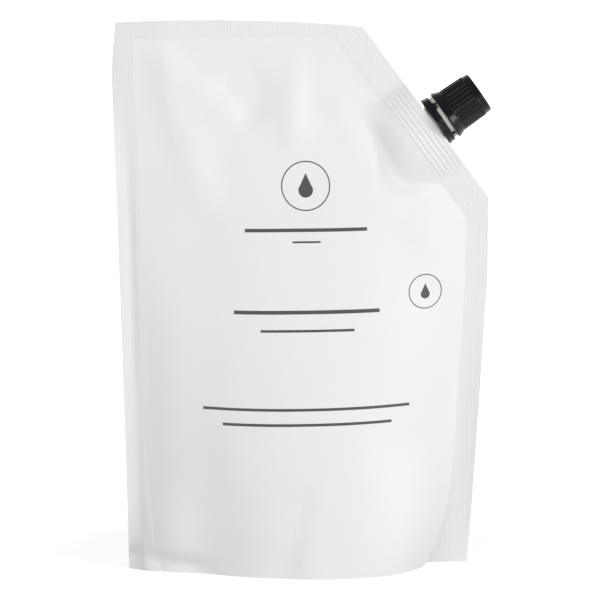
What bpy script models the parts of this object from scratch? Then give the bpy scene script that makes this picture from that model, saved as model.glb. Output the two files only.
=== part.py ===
# Hand soap refill pack: a stand-up film pouch with a sealed top, a cut corner and a screw-capped spout.
# Sizes are in millimetres and turned into metres once, by MM. +Z is up and the printed front faces -Y.
# The origin is on the floor, under the middle of the base.

import math

import bpy
import bmesh
import numpy as np
from mathutils import Matrix, Vector
from mathutils.geometry import delaunay_2d_cdt

MM = 0.001
CLEARANCE = 0.3

# Pouch outline, seen from the front
FILM_WIDTH = 160.4
TOP_HEIGHT = 236.0
TOP_PEAK_IN = 33.0
TOP_DROOP = 3.4
TOP_DROOP_SPAN = 73.0
LEFT_DRAW_IN = 7.0
LEFT_DRAW_POWER = 1.0
LEFT_SHOULDER_DROP = 26.0
LEFT_CORNER_DRAW = 1.5
RIGHT_DRAW_IN = 7.9
RIGHT_DRAW_HEIGHT = 125.0
RIGHT_DRAW_POWER = 1.0
CUT_ACROSS = 54.3
CUT_DROP = 77.0

# Seals and film
SIDE_SEAL = 9.2
TOP_SEAL = 7.8
CUT_SEAL = 12.6
SEAL_THICKNESS = 0.7
SKIRT_THICKNESS = 0.3
FIN_HEIGHT = 40.0
LEFT_FIN_EXTRA = 4.3
RIGHT_FIN_EXTRA = 8.3

# Belly of the filled pouch
FRONT_DEPTH = 28.0
BACK_DEPTH = 25.0
BELLY_POWER = 1.55
BASE_CENTRE_X = 4.0
BASE_BLEND = 60.0

# Wrinkles of the front: start and end as (in from the left, down from the top), half width, height
WRINKLES = (
    ((14.0, 9.5), (62.0, 51.5), 6.0, 1.2),
    ((44.0, 21.5), (64.0, 45.5), 9.0, -1.3),
    ((58.0, 7.5), (86.0, 57.5), 8.0, 1.0),
    ((116.0, 30.5), (130.0, 75.5), 8.0, -1.8),
)

# Base fold under the pouch
ARCH_LOW = 5.0
ARCH_END = 34.0
ARCH_POWER = 3.2
FOLD_FLAT = 0.42
FOLD_ACROSS = 8

# Curl of the side seals towards the front, and the left end of the base, which stands forward
LEFT_CURL = 3.6
RIGHT_CURL = 2.6
CURL_START = 30.0
LEFT_CURL_FADE = 60.0
RIGHT_CURL_TOP = 0.51
BASE_SWING = 7.0
BASE_SWING_IN = 13.0
BASE_SWING_WIDTH = 14.0
BASE_SWING_HEIGHT = 30.0

# Spout
SPOUT_ALONG = 51.7
SPOUT_SEAT = 0.6
SPOUT_LEAN = 1.8
BOAT_HALF = 20.75
BOAT_DEPTH = 7.45
BOAT_TIP = 0.25
BOAT_LOW = -12.4
BOAT_HIGH = -2.2
BOAT_RIBS = 5
BOAT_RIB_CUT = 0.35
BOAT_STATIONS = (0.0, 3.5, 7.0, 10.5, 14.0, 17.5)
NECK_RADIUS = 7.6
BORE_RADIUS = 6.2
NECK_TOP = 20.0
FLANGE_RADIUS = 8.6
FLANGE_LOW = -0.05
FLANGE_HIGH = 0.35
BEAD_RADIUS = 9.8
BEAD_LOW = 3.3
BEAD_HIGH = 5.2
BEAD_END = 6.4

# Tamper band
BAND_LOW = 0.05
BAND_STEP = 1.2
BAND_HIGH = 3.2
BAND_LIP_RADIUS = 11.1
BAND_RADIUS = 10.8
BAND_INNER = 10.1
BAND_LOCK = 9.1
BRIDGE_HIGH = 4.7
BRIDGE_ANGLES = (-50.0, 40.0, 130.0, 220.0)
RATCHET_ANGLES = (-46.0, -42.0, -38.0, -34.0)
RATCHET_HIGH = 4.3

# Screw cap
CAP_LOW = 5.0
CAP_LIP_HIGH = 5.7
CAP_LIP_RADIUS = 11.0
CAP_FLARE_HIGH = 8.6
CAP_RIB_RADIUS = 9.75
CAP_RIB_HIGH = 20.1
CAP_TOP_RADIUS = 9.5
CAP_RIBS = 30
CAP_RIB_DEPTH = 0.42
CAP_RIM_RADIUS = 9.3
CAP_TOP = 22.9
CAP_TOP_WALL = 1.5
CAP_SKIRT_INNER = 10.3
CAP_INNER = 8.5
LINER_THICKNESS = 0.8
LINER_RADIUS = 8.2

# Mesh pitches
PITCH = 6.2
EDGE_STEP = 7.0


def clear_scene():
    for obj in list(bpy.data.objects):
        bpy.data.objects.remove(obj, do_unlink=True)


def material(name, colour, roughness, metallic=0.0):
    mat = bpy.data.materials.new(name)
    mat.use_nodes = True
    shader = mat.node_tree.nodes["Principled BSDF"]
    shader.inputs["Base Color"].default_value = (*colour, 1.0)
    shader.inputs["Roughness"].default_value = roughness
    shader.inputs["Metallic"].default_value = metallic
    mat.diffuse_color = (*colour, 1.0)
    return mat


def add_object(name, bm, mat=None, parent=None, smooth_angle=30.0):
    mesh = bpy.data.meshes.new(name)
    bmesh.ops.recalc_face_normals(bm, faces=bm.faces)
    bm.to_mesh(mesh)
    bm.free()
    obj = bpy.data.objects.new(name, mesh)
    bpy.context.scene.collection.objects.link(obj)
    if mat:
        mesh.materials.append(mat)
    mesh.shade_smooth()
    mesh.set_sharp_from_angle(angle=math.radians(smooth_angle))
    if parent:
        obj.parent = parent
    return obj


def add_cutter(name, bm, target, parent=None):
    cutter = add_object(name, bm, parent=parent)
    cutter.hide_render = True
    cutter.display_type = "WIRE"
    cut = target.modifiers.new(name, "BOOLEAN")
    cut.operation = "DIFFERENCE"
    cut.solver = "EXACT"
    cut.object = cutter
    return cutter


def smooth_step(value):
    value = min(max(value, 0.0), 1.0)
    return value * value * (3.0 - 2.0 * value)


def bump(distance, reach):
    return math.exp(-((distance / reach) ** 2))


BELLY_TOP = TOP_HEIGHT - TOP_SEAL
LEFT_SHOULDER = TOP_HEIGHT - LEFT_SHOULDER_DROP
TOP_PEAK_X = TOP_PEAK_IN - FILM_WIDTH / 2.0
CUT_TOP_X = FILM_WIDTH / 2.0 - CUT_ACROSS
CUT_LOW_Z = TOP_HEIGHT - CUT_DROP


# The outline's four sides. The film draws in towards the base, where the belly takes up its width.
def edge_left(z):
    drawn = LEFT_DRAW_IN * (1.0 - min(z / LEFT_SHOULDER, 1.0)) ** LEFT_DRAW_POWER
    corner = LEFT_CORNER_DRAW * max(0.0, (z - LEFT_SHOULDER) / (TOP_HEIGHT - LEFT_SHOULDER)) ** 2
    return -FILM_WIDTH / 2.0 + drawn + corner


def edge_right(z):
    up = max(0.0, 1.0 - z / RIGHT_DRAW_HEIGHT)
    return FILM_WIDTH / 2.0 - RIGHT_DRAW_IN * up ** RIGHT_DRAW_POWER


def edge_top(x):
    return TOP_HEIGHT - TOP_DROOP * ((x - TOP_PEAK_X) / TOP_DROOP_SPAN) ** 2


CUT_TOP = Vector((CUT_TOP_X, edge_top(CUT_TOP_X)))
CUT_LOW = Vector((edge_right(CUT_LOW_Z), CUT_LOW_Z))
CUT_ALONG = (CUT_LOW - CUT_TOP).normalized()
CUT_OUT = Vector((-CUT_ALONG.y, CUT_ALONG.x))
SPOUT_BASE = CUT_TOP + CUT_ALONG * SPOUT_ALONG + CUT_OUT * SPOUT_SEAT
SPOUT_ANGLE = math.atan2(CUT_OUT.y, CUT_OUT.x)


def spout_frame(x, z):
    """Place on the front seen from the spout: along the cut edge, and out along the spout's axis."""
    off = Vector((x, z)) - SPOUT_BASE
    return off.dot(CUT_ALONG), off.dot(CUT_OUT)


def from_spout(along, out):
    return SPOUT_BASE + CUT_ALONG * along + CUT_OUT * out


def fin_extra(z, extra):
    return extra * max(0.0, 1.0 - z / FIN_HEIGHT) ** 2


def inner_left(z):
    return edge_left(z) + SIDE_SEAL + fin_extra(z, LEFT_FIN_EXTRA)


def inner_right(z):
    side = edge_right(z) - SIDE_SEAL - fin_extra(z, RIGHT_FIN_EXTRA)
    start = CUT_TOP - CUT_OUT * CUT_SEAL
    cut = start.x + CUT_ALONG.x * (z - start.y) / CUT_ALONG.y
    return min(side, cut)


def belly_share(x, z):
    """How much of the full depth the film reaches here: 1 on the ridge of the belly, 0 at the seals."""
    left = inner_left(z)
    right = inner_right(z)
    if x <= left or x >= right or z >= BELLY_TOP:
        return 0.0
    up = smooth_step(z / BASE_BLEND)
    centre = BASE_CENTRE_X * (1.0 - up) + 0.5 * (left + right) * up
    if x >= centre:
        side = (x - centre) / (right - centre)
        power = 3.0 - 0.7 * up
        fullness = 0.64 + 0.4 * up
    else:
        side = (centre - x) / (centre - left)
        power = 1.7 + 0.6 * up
        fullness = 1.0 + 0.05 * up
    return max(0.0, 1.0 - side ** power) ** fullness


def belly_profile(z):
    return max(0.0, math.cos(0.5 * math.pi * min(z / BELLY_TOP, 1.0))) ** BELLY_POWER


def film_over_boat(x, z):
    """Height of the film where it wraps the spout's weld base, fading out into the belly."""
    along, out = spout_frame(x, z)
    half = BOAT_HALF + 0.9
    lens = BOAT_DEPTH * max(0.0, 1.0 - (along / half) ** 2)
    lip = 0.6 * (1.0 - smooth_step((abs(along) - half) / 3.0))
    fade = 1.0 - smooth_step((-SPOUT_SEAT - CUT_SEAL - out) / 11.0)
    return (lens + lip) * fade


def film_middle(x, z):
    """Depth of the seal plane: the side seals curl forward, and the left end of the base stands forward."""
    left = max(0.0, 1.0 - (x - edge_left(z)) / SIDE_SEAL)
    right = max(0.0, 1.0 - (edge_right(z) - x) / SIDE_SEAL)
    up = smooth_step(z / CURL_START)
    down = smooth_step((LEFT_SHOULDER - z) / LEFT_CURL_FADE)
    curl = LEFT_CURL * left ** 1.5 * up * down
    curl += RIGHT_CURL * right ** 1.5 * up * smooth_step((RIGHT_CURL_TOP * TOP_HEIGHT - z) / LEFT_CURL_FADE)
    swing = BASE_SWING * bump(x - edge_left(0.0) - BASE_SWING_IN, BASE_SWING_WIDTH)
    return -curl - swing * bump(z, BASE_SWING_HEIGHT) * (1.0 - left)


def crease(x, z, start, end, width):
    """A soft ridge of the film along a line, 1 on the line and 0 a few widths away."""
    start = Vector(start)
    end = Vector(end)
    line = end - start
    place = Vector((x, z)) - start
    along = place.dot(line) / line.length_squared
    across = (place - line * along).length
    ends = smooth_step(along / 0.25) * smooth_step((1.0 - along) / 0.25)
    return bump(across, width) * ends


def front_relief(x, z):
    """Wrinkles of the front film: ridges running down from the top seal, a dent between them and one by the spout."""
    relief = 0.0
    for begin, finish, width, height in WRINKLES:
        first = (begin[0] - FILM_WIDTH / 2.0, TOP_HEIGHT - begin[1])
        last = (finish[0] - FILM_WIDTH / 2.0, TOP_HEIGHT - finish[1])
        relief += height * crease(x, z, first, last, width)
    return relief


def front_depth(x, z):
    share = belly_share(x, z)
    belly = FRONT_DEPTH * belly_profile(z) * share
    belly += front_relief(x, z) * min(1.0, 2.0 * share)
    return SEAL_THICKNESS / 2.0 + max(belly, film_over_boat(x, z), 0.0)


def back_depth(x, z):
    share = belly_share(x, z)
    belly = BACK_DEPTH * belly_profile(z) * share
    return SEAL_THICKNESS / 2.0 + max(belly, film_over_boat(x, z))


def front_y(x, z):
    return film_middle(x, z) - front_depth(x, z)


def back_y(x, z):
    return film_middle(x, z) + back_depth(x, z)


ARCH_LEFT = inner_left(ARCH_END)
ARCH_RIGHT = inner_right(ARCH_END)


def arch_height(x):
    """Height of the curved seal that joins the base fold to the front and back film."""
    reach = ARCH_RIGHT if x > BASE_CENTRE_X else ARCH_LEFT
    share = min(1.0, (x - BASE_CENTRE_X) / (reach - BASE_CENTRE_X))
    return ARCH_LOW + (ARCH_END - ARCH_LOW) * share ** ARCH_POWER


def fold_height(x):
    """Height of the base fold's middle line: flat on the floor, then up to the side seals."""
    reach = ARCH_RIGHT if x > BASE_CENTRE_X else ARCH_LEFT
    share = min(1.0, (x - BASE_CENTRE_X) / (reach - BASE_CENTRE_X))
    rise = max(0.0, (share - FOLD_FLAT) / (1.0 - FOLD_FLAT)) ** 2.0
    return -1.5 + (ARCH_END + 1.5) * rise


def spread(start, end, step):
    """Evenly spaced values from start to end, about one step apart, both ends kept."""
    count = max(1, round(abs(end - start) / step))
    return [start + (end - start) * i / count for i in range(count + 1)]


def boat_stations():
    """Places across the weld base, from its upper end to its lower end."""
    ends = (BOAT_HALF, BOAT_HALF + 0.9, BOAT_HALF + 4.0)
    right = [*BOAT_STATIONS, *ends]
    return [-place for place in reversed(right[1:])] + right


class Plan:
    """Points and edges of the pouch's front view, kept once each."""

    def __init__(self):
        self.points = []
        self.edges = []

    def point(self, x, z):
        for place, known in enumerate(self.points):
            if abs(known[0] - x) < 0.001 and abs(known[1] - z) < 0.001:
                return place
        self.points.append((x, z))
        return len(self.points) - 1

    def line(self, places):
        ids = [self.point(x, z) for x, z in places]
        self.edges += [(a, b) for a, b in zip(ids, ids[1:]) if a != b]
        return ids

    def clear_of_lines(self, x, z, reach):
        ends = np.array([[self.points[a], self.points[b]] for a, b in self.edges])
        start = ends[:, 0]
        line = ends[:, 1] - start
        place = np.array((x, z)) - start
        along = np.clip((place * line).sum(1) / (line * line).sum(1), 0.0, 1.0)
        near = start + line * along[:, None]
        return np.linalg.norm(near - (x, z), axis=1).min() > reach


def side_heights(top):
    """Heights up a side seal, with a place at the end of the base arch."""
    return spread(0.0, ARCH_END, 5.0) + spread(ARCH_END, top, EDGE_STEP)[1:]


def draw_plan():
    """Lays out the outline, the inner line of the seals, the base arch and the film's points between them."""
    plan = Plan()
    groups = {}
    base_left = inner_left(0.0)
    base_right = inner_right(0.0)
    left_xs = spread(edge_left(0.0), base_left, 5.0)
    right_xs = spread(base_right, edge_right(0.0), 5.0)
    middle_xs = spread(base_left, base_right, 5.0)
    plan.line([(x, 0.0) for x in left_xs])
    groups["base"] = plan.line([(x, 0.0) for x in middle_xs])
    plan.line([(x, 0.0) for x in right_xs])

    # Outline: right side, cut edge, top and left side
    plan.line([(edge_right(z), z) for z in side_heights(CUT_LOW_Z)])
    stations = boat_stations()
    low_end = (CUT_LOW - SPOUT_BASE).dot(CUT_ALONG)
    top_end = (CUT_TOP - SPOUT_BASE).dot(CUT_ALONG)
    across = spread(top_end, stations[0], EDGE_STEP)[:-1] + stations
    across += spread(stations[-1], low_end, EDGE_STEP)[1:]
    cut_line = [from_spout(along, -SPOUT_SEAT) for along in across]
    plan.line([(edge_right(CUT_LOW_Z), CUT_LOW_Z)] + [tuple(p) for p in reversed(cut_line[1:-1])]
              + [tuple(CUT_TOP)])
    top_left = edge_left(TOP_HEIGHT)
    top_xs = spread(CUT_TOP_X, top_left, EDGE_STEP)
    plan.line([tuple(CUT_TOP)] + [(x, edge_top(x)) for x in top_xs[1:]])
    left_top = edge_top(top_left)
    plan.line([(edge_left(z), z) for z in side_heights(left_top)[:-1]] + [(top_left, left_top)])

    # Inner line of the seals, closed by the base
    seal_out = -SPOUT_SEAT - CUT_SEAL
    corner_z = CUT_LOW_Z
    while inner_right(corner_z) < edge_right(corner_z) - SIDE_SEAL - 0.01:
        corner_z -= 0.05
    right_line = [(inner_right(z), z) for z in side_heights(corner_z)]
    top_z = BELLY_TOP
    cut_x = inner_right(top_z)
    low_seal, _ = spout_frame(*right_line[-1])
    top_seal, _ = spout_frame(cut_x, top_z)
    inner_across = [low_seal] + [a for a in reversed(across) if top_seal + 3.0 < a < low_seal - 1.5]
    cut_seal_line = [tuple(from_spout(along, seal_out)) for along in inner_across]
    left_line = [(inner_left(z), z) for z in side_heights(top_z)]
    top_line = [(x, top_z) for x in spread(cut_x, left_line[-1][0], EDGE_STEP)]
    groups["right_end"] = plan.line([p for p in right_line if p[1] <= ARCH_END + 0.01])
    plan.line([p for p in right_line if p[1] >= ARCH_END - 0.01])
    plan.line([right_line[-1]] + cut_seal_line[1:] + [(cut_x, top_z)])
    plan.line([(cut_x, top_z)] + top_line[1:])
    groups["left_end"] = plan.line([p for p in left_line if p[1] <= ARCH_END + 0.01])
    plan.line([p for p in left_line if p[1] >= ARCH_END - 0.01])

    # Base arch, and the rows that follow the weld base
    arch_xs = spread(ARCH_LEFT, ARCH_RIGHT, 5.0)
    groups["arch"] = plan.line([(x, arch_height(x)) for x in arch_xs])
    for along in stations:
        if top_seal + 3.0 < along < low_seal - 1.5:
            plan.line([tuple(from_spout(along, -SPOUT_SEAT)), tuple(from_spout(along, seal_out))])
    for out in (seal_out - 3.5, seal_out - 7.5):
        for along in spread(stations[0], stations[-1], 4.8):
            x, z = from_spout(along, out)
            if x < inner_right(z) - 2.0 and plan.clear_of_lines(x, z, 2.0):
                plan.point(x, z)

    # Points of the open film, in staggered rows
    rows = int(TOP_HEIGHT / (PITCH * 0.866)) + 1
    columns = int(FILM_WIDTH / PITCH / 2.0) + 2
    for row in range(rows):
        z = row * PITCH * 0.866 + 2.6
        for column in range(-columns, columns + 1):
            x = (column + 0.5 * (row % 2)) * PITCH
            _, out = spout_frame(x, z)
            inside = edge_left(z) < x < edge_right(z) and z < edge_top(x)
            if inside and out < seal_out - 8.5 and plan.clear_of_lines(x, z, 0.42 * PITCH):
                plan.point(x, z)
            elif inside and seal_out - 8.5 <= out < -SPOUT_SEAT:
                along, _ = spout_frame(x, z)
                if abs(along) > BOAT_HALF + 4.0 and plan.clear_of_lines(x, z, 0.42 * PITCH):
                    plan.point(x, z)
    return plan, groups


def inside_base(x, z):
    """True on the skirt, the film below the base arch."""
    if not ARCH_LEFT < x < ARCH_RIGHT:
        return False
    return inner_left(z) < x < inner_right(z) and z < arch_height(x)


def on_weld_end(x, z):
    along, out = spout_frame(x, z)
    return abs(out + SPOUT_SEAT) < 0.01 and abs(along) < BOAT_HALF + 4.5


def pouch_mesh():
    """The sealed pouch with its soap as one solid: front and back film, and the base fold between the skirts."""
    plan, groups = draw_plan()
    count = len(plan.points)
    result = delaunay_2d_cdt([Vector(p) for p in plan.points], plan.edges, [], 1, 1e-7, True)
    points, _, faces, origins = result[0], result[1], result[2], result[3]
    new_id = {}
    for place, olds in enumerate(origins):
        for old in olds:
            new_id[old] = place
    if len(points) != count:
        raise ValueError("the front plan has crossing lines")
    groups = {name: [new_id[i] for i in ids] for name, ids in groups.items()}

    bm = bmesh.new()
    front = [bm.verts.new((p.x, front_y(p.x, p.y), p.y)) for p in points]
    back = [bm.verts.new((p.x, back_y(p.x, p.y), p.y)) for p in points]

    # Skirts under the arch: the inner side of the film, meeting in one line at each side seal
    skirt_faces = [f for f in faces if inside_base(*(sum((points[i] for i in f), Vector((0, 0))) / 3.0))]
    skirt_ids = sorted({i for f in skirt_faces for i in f})
    ends = set(groups["left_end"]) | set(groups["right_end"])
    front_in = {}
    back_in = {}
    for i in skirt_ids:
        x, z = points[i]
        if i in ends:
            front_in[i] = bm.verts.new((x, film_middle(x, z), z))
            back_in[i] = front_in[i]
        else:
            front_in[i] = bm.verts.new((x, front_y(x, z) + SKIRT_THICKNESS, z))
            back_in[i] = bm.verts.new((x, back_y(x, z) - SKIRT_THICKNESS, z))

    def face(*corners):
        kept = [v for k, v in enumerate(corners) if v is not corners[k - 1]]
        if len(kept) > 2:
            bm.faces.new(kept)

    for a, b, c in faces:
        face(front[a], front[b], front[c])
        face(back[c], back[b], back[a])
    for a, b, c in skirt_faces:
        face(front_in[c], front_in[b], front_in[a])
        face(back_in[a], back_in[b], back_in[c])

    # Rim: the outline's edge, from the front film to the back film, or to the skirts along the base
    uses = {}
    for f in faces:
        for k in range(3):
            key = (f[k], f[(k + 1) % 3])
            uses[key] = uses.get(key, 0) + 1
    base = groups["base"]
    base_pairs = {frozenset(pair) for pair in zip(base, base[1:])}
    for a, b in uses:
        if (b, a) in uses:
            continue
        if frozenset((a, b)) in base_pairs:
            face(front[b], front[a], front_in[a], front_in[b])
            face(back_in[b], back_in[a], back[a], back[b])
            continue
        corners = [front[b], front[a]]
        if a in (base[0], base[-1]):
            corners.append(front_in[a])
        corners.append(back[a])
        corners.append(back[b])
        if b in (base[0], base[-1]):
            corners.append(front_in[b])
        face(*corners)

    # Base fold, across from the front skirt to the back skirt
    rows = []
    for i in groups["arch"]:
        x, z = points[i]
        row = [front_in[i]]
        if i not in ends:
            y_front = front_in[i].co.y
            y_back = back_in[i].co.y
            low = fold_height(x)
            for k in range(1, FOLD_ACROSS):
                across = -1.0 + 2.0 * k / FOLD_ACROSS
                sag = 1.0 - abs(across) ** 2.4
                y = 0.5 * (y_front + y_back) + 0.5 * (y_back - y_front) * across
                row.append(bm.verts.new((x, y, max(0.0, z - (z - low) * sag))))
            row.append(back_in[i])
        rows.append(row)
    for left, right in zip(rows, rows[1:]):
        for k in range(FOLD_ACROSS):
            a = left[k] if len(left) > 1 else left[0]
            b = right[k] if len(right) > 1 else right[0]
            c = right[k + 1] if len(right) > 1 else right[0]
            d = left[k + 1] if len(left) > 1 else left[0]
            face(a, b, c, d)

    # The film's end over the weld is one flat face, so that the neck's hole cuts it cleanly
    weld_end = [f for f in bm.faces if all(on_weld_end(v.co.x, v.co.z) for v in f.verts)]
    bmesh.ops.dissolve_faces(bm, faces=weld_end)
    bmesh.ops.triangulate(bm, faces=[f for f in bm.faces if len(f.verts) < 7])
    bmesh.ops.scale(bm, vec=(MM, MM, MM), verts=bm.verts)
    return bm


def boat_half_depth(along, grow=0.0):
    half = BOAT_HALF + 1.3 * grow
    return BOAT_TIP + grow + BOAT_DEPTH * max(0.0, 1.0 - (along / half) ** 2)


def boat_mesh(low, high, grow=0.0, ribs=0):
    """The weld base: a pointed boat across the spout, with grooves between its ribs if asked for."""
    tip = BOAT_HALF + grow
    half = [a for a in BOAT_STATIONS if a < tip - 1.0] + [tip]
    stations = [-a for a in reversed(half[1:])] + half
    levels = [(low, 0.0)]
    for rib in range(1, ribs):
        middle = low + (high - low) * rib / ribs
        levels += [(middle - 0.55, 0.0), (middle - 0.25, BOAT_RIB_CUT),
                   (middle + 0.25, BOAT_RIB_CUT), (middle + 0.55, 0.0)]
    levels.append((high, 0.0))
    bm = bmesh.new()
    loops = []
    for height, cut in levels:
        loop = []
        for side in (-1.0, 1.0):
            for along in stations if side < 0 else reversed(stations):
                depth = max(BOAT_TIP * 0.6, boat_half_depth(along, grow) - cut)
                loop.append(bm.verts.new((along * MM, side * depth * MM, height * MM)))
        loops.append(loop)
    for lower, upper in zip(loops, loops[1:]):
        for k in range(len(lower)):
            n = (k + 1) % len(lower)
            bm.faces.new((lower[k], lower[n], upper[n], upper[k]))
    bm.faces.new(loops[0])
    bm.faces.new(loops[-1])
    return bm


def turned(profile, sides, closed=True):
    """Spins a half profile of (radius, height) about the spout's axis."""
    bm = bmesh.new()
    verts = [bm.verts.new((radius * MM, 0.0, height * MM)) for radius, height in profile]
    pairs = list(zip(verts, verts[1:]))
    if closed:
        pairs.append((verts[-1], verts[0]))
    edges = [bm.edges.new(pair) for pair in pairs]
    bmesh.ops.spin(bm, geom=verts + edges, axis=(0, 0, 1), cent=(0, 0, 0), steps=sides,
                   angle=2.0 * math.pi, use_duplicate=False)
    bmesh.ops.remove_doubles(bm, verts=bm.verts, dist=1e-6)
    bmesh.ops.recalc_face_normals(bm, faces=bm.faces)
    return bm


def facing_angle(place):
    """Degrees round the spout from the side that faces the front."""
    return math.degrees(math.atan2(place.x, -place.y))


def raise_faces(bm, angles, inner, outer, level, height):
    """Lifts the top faces of a ring at these angles, as a bridge or a tooth."""
    for angle in angles:
        best = None
        for f in bm.faces:
            centre = f.calc_center_median()
            radius = math.hypot(centre.x, centre.y) / MM
            off = abs((facing_angle(centre) - angle + 180.0) % 360.0 - 180.0)
            if abs(centre.z / MM - level) < 0.01 and inner < radius < outer and abs(f.normal.z) > 0.9:
                if best is None or off < best[0]:
                    best = (off, f)
        made = bmesh.ops.extrude_face_region(bm, geom=[best[1]])
        verts = [g for g in made["geom"] if isinstance(g, bmesh.types.BMVert)]
        bmesh.ops.translate(bm, vec=(0, 0, (height - level) * MM), verts=verts)
        bmesh.ops.delete(bm, geom=[best[1]], context="FACES_ONLY")


def spout_object(parent, weld, mat):
    """Neck with its bore, flange, bead and weld base, moulded in one piece."""
    profile = [
        (BORE_RADIUS, BOAT_HIGH - 4.0), (NECK_RADIUS, BOAT_HIGH - 4.0), (NECK_RADIUS, FLANGE_LOW),
        (FLANGE_RADIUS, FLANGE_LOW), (FLANGE_RADIUS, FLANGE_HIGH), (NECK_RADIUS, FLANGE_HIGH),
        (NECK_RADIUS, BEAD_LOW), (BEAD_RADIUS, BEAD_LOW), (BEAD_RADIUS, BEAD_HIGH),
        (NECK_RADIUS, BEAD_END), (NECK_RADIUS, NECK_TOP - 0.4), (NECK_RADIUS - 0.4, NECK_TOP),
        (BORE_RADIUS + 0.3, NECK_TOP), (BORE_RADIUS, NECK_TOP - 0.3),
    ]
    spout = add_object("spout", boat_mesh(BOAT_LOW, BOAT_HIGH, ribs=BOAT_RIBS), mat, weld)
    neck = add_object("spout_neck_shape", turned(profile, 48), parent=parent)
    neck.hide_render = True
    neck.display_type = "WIRE"
    join = spout.modifiers.new("neck", "BOOLEAN")
    join.operation = "UNION"
    join.solver = "EXACT"
    join.object = neck
    bore = turned([(0.0, BOAT_LOW - 1.0), (BORE_RADIUS, BOAT_LOW - 1.0),
                   (BORE_RADIUS, BOAT_HIGH - 2.0), (0.0, BOAT_HIGH - 2.0)], 48, closed=False)
    add_cutter("spout_bore", bore, spout, parent)
    return spout


def band_object(parent, mat):
    """Tamper band: a stepped ring held under the spout's bead, with four bridges up to the cap."""
    profile = [
        (BAND_LIP_RADIUS, BAND_LOW), (BAND_LIP_RADIUS, BAND_STEP - 0.1), (BAND_RADIUS, BAND_STEP + 0.1),
        (BAND_RADIUS, BAND_HIGH), (BAND_INNER, BAND_HIGH), (BAND_INNER, BAND_STEP + 0.4),
        (BAND_LOCK, BAND_STEP), (BAND_LOCK, BAND_LOW),
    ]
    bm = turned(profile, 90)
    raise_faces(bm, BRIDGE_ANGLES, BAND_INNER, BAND_RADIUS, BAND_HIGH, BRIDGE_HIGH)
    raise_faces(bm, RATCHET_ANGLES[:1], BAND_INNER, BAND_RADIUS, BAND_HIGH, RATCHET_HIGH)
    return add_object("tamper_band", bm, mat, parent)


def cap_object(parent, mat):
    """Screw cap: hollow, with a flared skirt, grip ribs and a smooth rim."""
    inner_top = CAP_TOP - CAP_TOP_WALL
    profile = [
        (0.0, inner_top), (CAP_INNER, inner_top), (CAP_INNER, CAP_FLARE_HIGH),
        (CAP_SKIRT_INNER, CAP_LIP_HIGH + 0.6), (CAP_SKIRT_INNER, CAP_LOW),
        (CAP_LIP_RADIUS, CAP_LOW), (CAP_LIP_RADIUS, CAP_LIP_HIGH), (CAP_RIB_RADIUS, CAP_FLARE_HIGH),
        (CAP_RIB_RADIUS, CAP_FLARE_HIGH + 0.5), (CAP_TOP_RADIUS, CAP_RIB_HIGH - 0.5),
        (CAP_RIM_RADIUS, CAP_RIB_HIGH), (CAP_RIM_RADIUS - 0.2, CAP_TOP - 0.8),
        (CAP_RIM_RADIUS - 0.5, CAP_TOP - 0.25), (CAP_RIM_RADIUS - 1.0, CAP_TOP), (0.0, CAP_TOP),
    ]
    bm = turned(profile, CAP_RIBS * 4, closed=False)
    for v in bm.verts:
        height = v.co.z / MM
        radius = math.hypot(v.co.x, v.co.y) / MM
        if CAP_FLARE_HIGH + 0.4 < height < CAP_RIB_HIGH - 0.4 and radius > CAP_INNER + 0.5:
            step = round(facing_angle(v.co) / 360.0 * CAP_RIBS * 4) % 4
            if step > 1:
                v.co.x *= 1.0 - CAP_RIB_DEPTH / radius
                v.co.y *= 1.0 - CAP_RIB_DEPTH / radius
    return add_object("cap", bm, mat, parent)


def liner_object(parent, mat):
    """Sealing disc under the cap's top."""
    high = CAP_TOP - CAP_TOP_WALL - CLEARANCE
    low = high - LINER_THICKNESS
    profile = [(0.0, low), (LINER_RADIUS, low), (LINER_RADIUS, high), (0.0, high)]
    return add_object("cap_liner", turned(profile, 48, closed=False), mat, parent)


def add_axis(name, angle):
    """An empty on the spout's base: its Z axis points this far above +X."""
    axis = bpy.data.objects.new(name, None)
    bpy.context.scene.collection.objects.link(axis)
    axis.location = (SPOUT_BASE.x * MM, 0.0, SPOUT_BASE.y * MM)
    axis.rotation_euler = Matrix.Rotation(math.pi / 2.0 - angle, 3, "Y").to_euler()
    return axis


def build():
    clear_scene()
    film = material("white_film", (0.83, 0.84, 0.85), 0.5)
    natural = material("natural_plastic", (0.72, 0.70, 0.64), 0.4)
    black = material("black_plastic", (0.012, 0.011, 0.014), 0.22)
    foam = material("liner_foam", (0.80, 0.80, 0.78), 0.7)

    # The weld base lies square to the cut edge, and the neck above it leans down a little
    axis = add_axis("spout_axis", SPOUT_ANGLE - math.radians(SPOUT_LEAN))
    weld = add_axis("weld_axis", SPOUT_ANGLE)

    pouch = add_object("pouch", pouch_mesh(), film, smooth_angle=35.0)
    add_cutter("weld_pocket", boat_mesh(BOAT_LOW - CLEARANCE, BOAT_HIGH + CLEARANCE, CLEARANCE),
               pouch, weld)
    hole_low = BOAT_HIGH - 1.0
    hole_radius = NECK_RADIUS + CLEARANCE
    hole = turned([(0.0, hole_low), (hole_radius, hole_low), (hole_radius, 3.0), (0.0, 3.0)],
                  48, closed=False)
    # The hole is square to the weld end, as the film there is, and its clearance takes the neck's lean
    add_cutter("neck_hole", hole, pouch, weld)
    # Even triangles, so that no thin sliver is left round the hole
    clean = pouch.modifiers.new("clean_triangles", "TRIANGULATE")
    clean.quad_method = "BEAUTY"
    clean.ngon_method = "BEAUTY"
    spout_object(axis, weld, natural)
    band_object(axis, black)
    cap_object(axis, black)
    liner_object(axis, foam)


build()
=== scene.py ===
"""Hand soap refill pack, dressed for its photograph: film pouch, moulded spout and black screw cap."""

import math

import bpy
import numpy as np
from mathutils import Matrix, Vector, noise


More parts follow.
